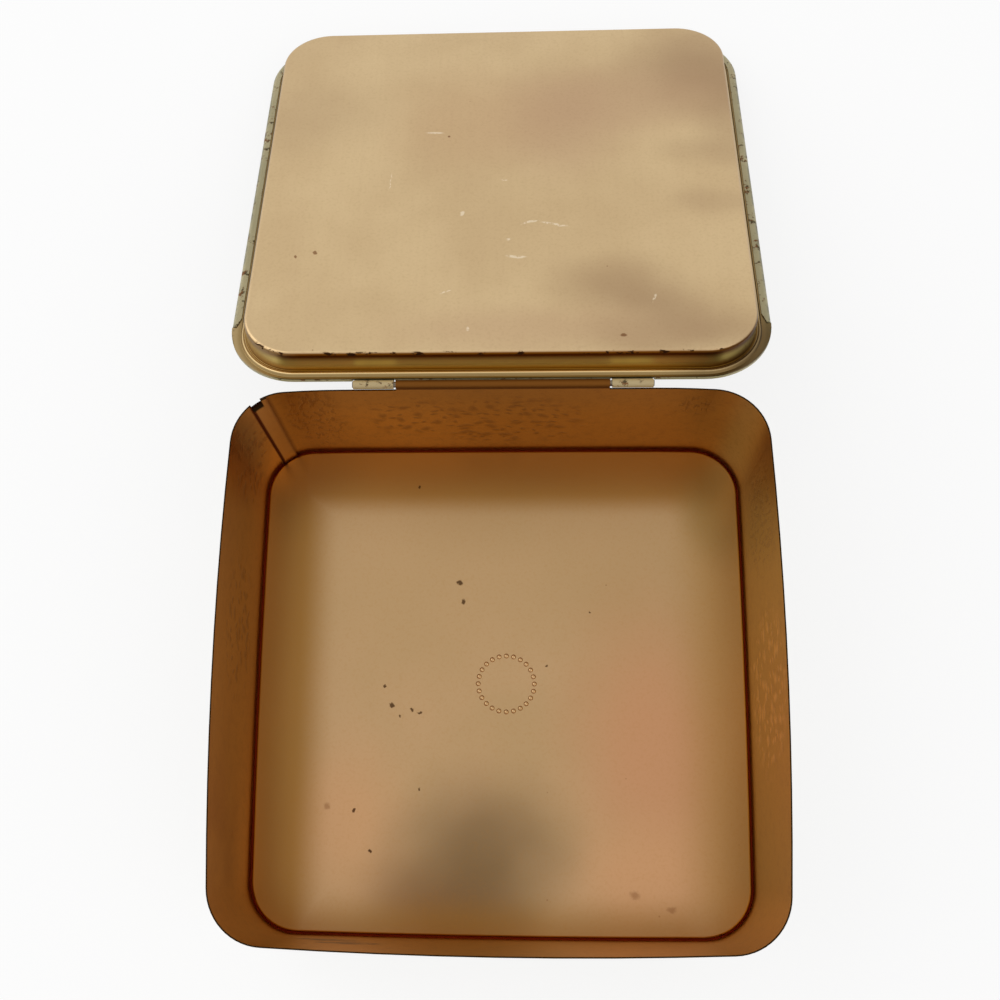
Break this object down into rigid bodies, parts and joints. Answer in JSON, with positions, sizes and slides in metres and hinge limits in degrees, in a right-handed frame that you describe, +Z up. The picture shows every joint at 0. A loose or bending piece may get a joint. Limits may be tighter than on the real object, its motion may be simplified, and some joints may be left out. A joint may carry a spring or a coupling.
{
  "type": "hinged tin container",
  "caption": "Square tinplate box with rounded corners and a lid that folds back on a wire hinge; a raised plug inside the lid drops into the body.",
  "frame": {"origin": "centre of the underside, on the surface that the tin stands on", "axes": "+X to the right, +Y towards the hinge, +Z up; the rest pose has the lid folded back with its front lip on the same surface"},
  "size_m": [0.12, 0.2303, 0.0476],
  "materials": {
    "wall_lacquer": "satin brown-gold lacquer inside, pale green-cream paint outside",
    "base_lacquer": "satin gold lacquer",
    "wire_steel": "dull drawn wire",
    "outer_paint": "worn gloss paint, pale green-cream",
    "lid_lacquer": "satin gold lacquer, lightly scratched"
  },
  "bodies": {
    "body": {"body_wall": "wall_lacquer", "base_panel": "base_lacquer", "hinge_wire": "wire_steel"},
    "lid": {"lid_shell": "outer_paint", "lid_liner": "lid_lacquer"}
  },
  "joints": [
    {"name": "lid_hinge", "type": "hinge", "parent": "body", "child": "lid", "pos_m": [0, 0.05958, 0.04306], "axis": [1, 0, 0], "range_deg": [0, 200.81]}
  ]
}
